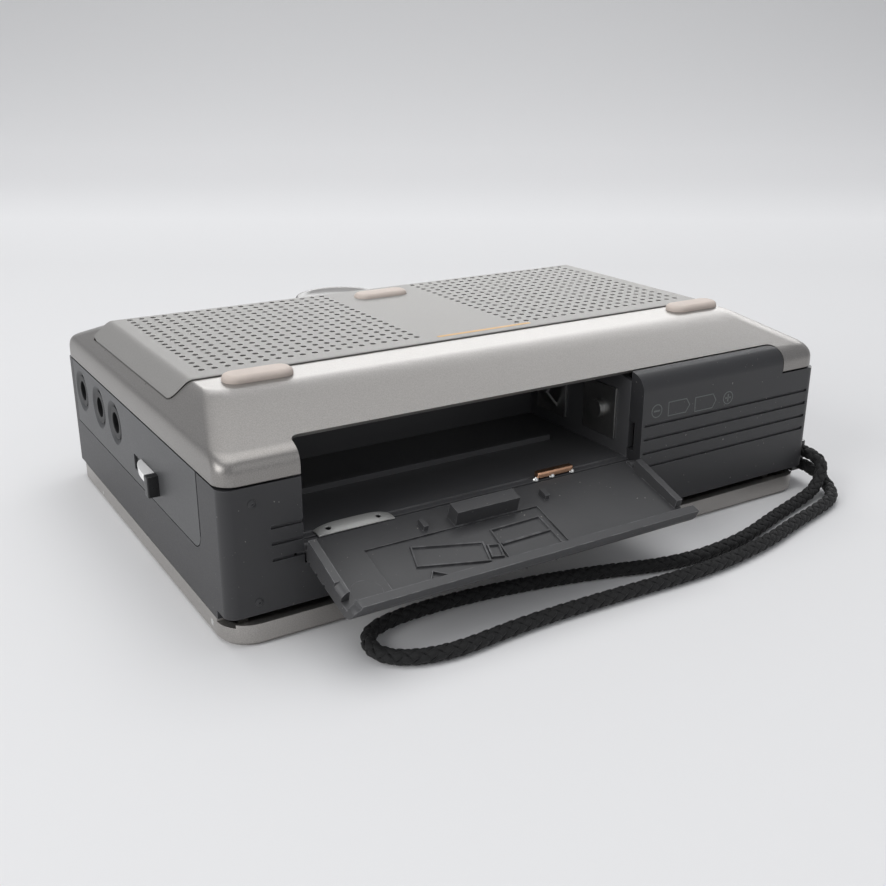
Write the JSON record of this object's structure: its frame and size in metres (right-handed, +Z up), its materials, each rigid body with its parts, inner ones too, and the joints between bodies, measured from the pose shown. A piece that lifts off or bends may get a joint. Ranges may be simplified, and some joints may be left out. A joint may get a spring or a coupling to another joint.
{
  "type": "portable cassette recorder",
  "caption": "Pocket cassette recorder lying on its cassette lid, with a perforated grille, jacks, push keys, a thumb dial, a wrist strap and an open battery door.",
  "frame": {"origin": "middle of the case's footprint, on the outer face of the cassette lid that the recorder lies on", "axes": "+Z up through the grille, +X along the case's length towards the wrist strap, -Y towards the battery door"},
  "size_m": [0.1216, 0.1013, 0.0333],
  "materials": {
    "silver_paint": "silver paint over plastic, fine metallic satin",
    "grille_metal": "satin, thin perforated sheet",
    "dark_plastic": "satin dark grey moulding with lighter worn edges",
    "bay_plastic": "matte black moulding",
    "black_plastic": "semi-gloss black",
    "key_plastic": "satin dark grey",
    "felt_black": "black felt",
    "foot_rubber": "beige-pink rubber",
    "belt_rubber": "black rubber",
    "roller_rubber": "dark rubber",
    "clear_window": "clear plastic",
    "sheet_steel": "zinc-plated sheet",
    "polished_steel": "ground and polished",
    "spring_steel": "spring steel",
    "wheel_metal": "turned brass",
    "copper_metal": "bright copper",
    "white_plastic": "white moulding",
    "board_laminate": "brown laminate",
    "chip_black": "matte black",
    "capacitor_can": "blue sleeve over an aluminium can",
    "motor_can": "drawn steel can",
    "head_metal": "lapped metal",
    "cord_black": "woven black cord"
  },
  "bodies": {
    "case": {"top_shell": "silver_paint", "speaker_grille": "grille_metal", "grille_felts": "felt_black", "rubber_feet": "foot_rubber", "speaker_left": "motor_can", "speaker_right": "motor_can", "mid_frame": "dark_plastic", "key_trough": "dark_plastic", "jack_panel": "bay_plastic", "slide_switch_body": "bay_plastic", "battery_box": "bay_plastic", "latch_strip": "spring_steel", "copper_contact": "copper_metal", "contact_link": "spring_steel", "contact_positive": "spring_steel", "contact_negative": "spring_steel", "lid_hinge_pins": "polished_steel", "case_screws": "sheet_steel", "deck_plate": "sheet_steel", "spindle_shafts": "polished_steel", "capstan_bush": "wheel_metal", "flywheel_bridge": "sheet_steel", "motor": "motor_can", "motor_bracket": "sheet_steel", "drive_belt": "belt_rubber", "circuit_board": "board_laminate", "chips": "chip_black", "capacitors": "capacitor_can", "volume_pot": "sheet_steel", "microphone_capsule": "motor_can", "key_return_spring": "spring_steel", "strap_lug": "black_plastic", "wrist_strap": "cord_black", "dc_jack": "bay_plastic", "earphone_jack": "bay_plastic", "microphone_jack": "bay_plastic"},
    "lid": {"cassette_lid": "silver_paint", "lid_hooks": "silver_paint", "lid_window": "clear_window", "cassette_springs": "spring_steel"},
    "door": {"battery_door": "dark_plastic"},
    "switch_knob": {"slide_switch_knob": "black_plastic"},
    "dial": {"volume_dial": "black_plastic"},
    "flywheel": {"flywheel": "wheel_metal", "capstan_shaft": "polished_steel"},
    "pulley": {"motor_pulley": "wheel_metal"},
    "supply_reel": {"supply_reel": "white_plastic"},
    "takeup_reel": {"takeup_reel": "white_plastic"},
    "idler": {"idler_wheel": "key_plastic"},
    "head_carriage": {"head_plate": "sheet_steel", "play_head": "head_metal", "erase_head": "head_metal", "pinch_arm": "sheet_steel"},
    "pinch_roller": {"pinch_roller": "roller_rubber"},
    "record_key": {"record_key": "key_plastic"},
    "play_key": {"play_key": "key_plastic"},
    "rewind_key": {"rewind_key": "key_plastic"},
    "forward_key": {"forward_key": "key_plastic"},
    "stop_eject_key": {"stop_eject_key": "key_plastic"},
    "pause_key": {"pause_key": "key_plastic"}
  },
  "joints": [
    {"name": "battery_door_hinge", "type": "hinge", "parent": "case", "child": "door", "pos_m": [0, -0.0388, 0.0128], "axis": [1, 0, 0], "range_deg": [-107, 0]},
    {"name": "cassette_lid_hinge", "type": "hinge", "parent": "case", "child": "lid", "pos_m": [0, -0.036, 0.008], "axis": [-1, 0, 0], "range_deg": [0, 45]},
    {"name": "power_switch_slide", "type": "slide", "parent": "case", "child": "switch_knob", "axis": [0, 1, 0], "range_m": [0, 0.006]},
    {"name": "volume_dial_turn", "type": "hinge", "parent": "case", "child": "dial", "pos_m": [-0.0028, 0.034, 0.0292], "axis": [0, 0, 1], "range_deg": [-135, 135]},
    {"name": "flywheel_spin", "type": "hinge", "parent": "case", "child": "flywheel", "pos_m": [0.031, 0.024, 0.0189], "axis": [0, 0, 1], "continuous": true},
    {"name": "motor_spin", "type": "hinge", "parent": "case", "child": "pulley", "pos_m": [0.0345, -0.02, 0.0189], "axis": [0, 0, 1], "continuous": true},
    {"name": "supply_reel_spin", "type": "hinge", "parent": "case", "child": "supply_reel", "pos_m": [-0.02125, -0.005, 0.012], "axis": [0, 0, 1], "continuous": true},
    {"name": "takeup_reel_spin", "type": "hinge", "parent": "case", "child": "takeup_reel", "pos_m": [0.02125, -0.005, 0.012], "axis": [0, 0, 1], "continuous": true},
    {"name": "idler_spin", "type": "hinge", "parent": "case", "child": "idler", "pos_m": [0, -0.005, 0.012], "axis": [0, 0, 1], "continuous": true},
    {"name": "head_carriage_slide", "type": "slide", "parent": "case", "child": "head_carriage", "axis": [0, -1, 0], "range_m": [0, 0.003], "stiffness_N_per_m": 400, "springref_m": -0.002},
    {"name": "pinch_roller_spin", "type": "hinge", "parent": "head_carriage", "child": "pinch_roller", "pos_m": [0.031, 0.0328, 0.0074], "axis": [0, 0, 1], "continuous": true},
    {"name": "record_press", "type": "slide", "parent": "case", "child": "record_key", "axis": [0, -1, 0], "range_m": [0, 0.003], "stiffness_N_per_m": 300, "springref_m": -0.002, "deforming": ["key_return_spring"]},
    {"name": "play_press", "type": "slide", "parent": "case", "child": "play_key", "axis": [0, -1, 0], "range_m": [0, 0.003], "stiffness_N_per_m": 300, "springref_m": -0.002, "deforming": ["key_return_spring"]},
    {"name": "rewind_press", "type": "slide", "parent": "case", "child": "rewind_key", "axis": [0, -1, 0], "range_m": [0, 0.003], "stiffness_N_per_m": 300, "springref_m": -0.002, "deforming": ["key_return_spring"]},
    {"name": "forward_press", "type": "slide", "parent": "case", "child": "forward_key", "axis": [0, -1, 0], "range_m": [0, 0.003], "stiffness_N_per_m": 300, "springref_m": -0.002, "deforming": ["key_return_spring"]},
    {"name": "stop_eject_press", "type": "slide", "parent": "case", "child": "stop_eject_key", "axis": [0, -1, 0], "range_m": [0, 0.003], "stiffness_N_per_m": 300, "springref_m": -0.002, "deforming": ["key_return_spring"]},
    {"name": "pause_press", "type": "slide", "parent": "case", "child": "pause_key", "axis": [0, -1, 0], "range_m": [0, 0.003], "stiffness_N_per_m": 300, "springref_m": -0.002, "deforming": ["key_return_spring"]}
  ],
  "couplings": [
    {"joint": "motor_spin", "follows": "flywheel_spin", "ratio": 4},
    {"joint": "play_press", "follows": "head_carriage_slide", "ratio": 1}
  ]
}
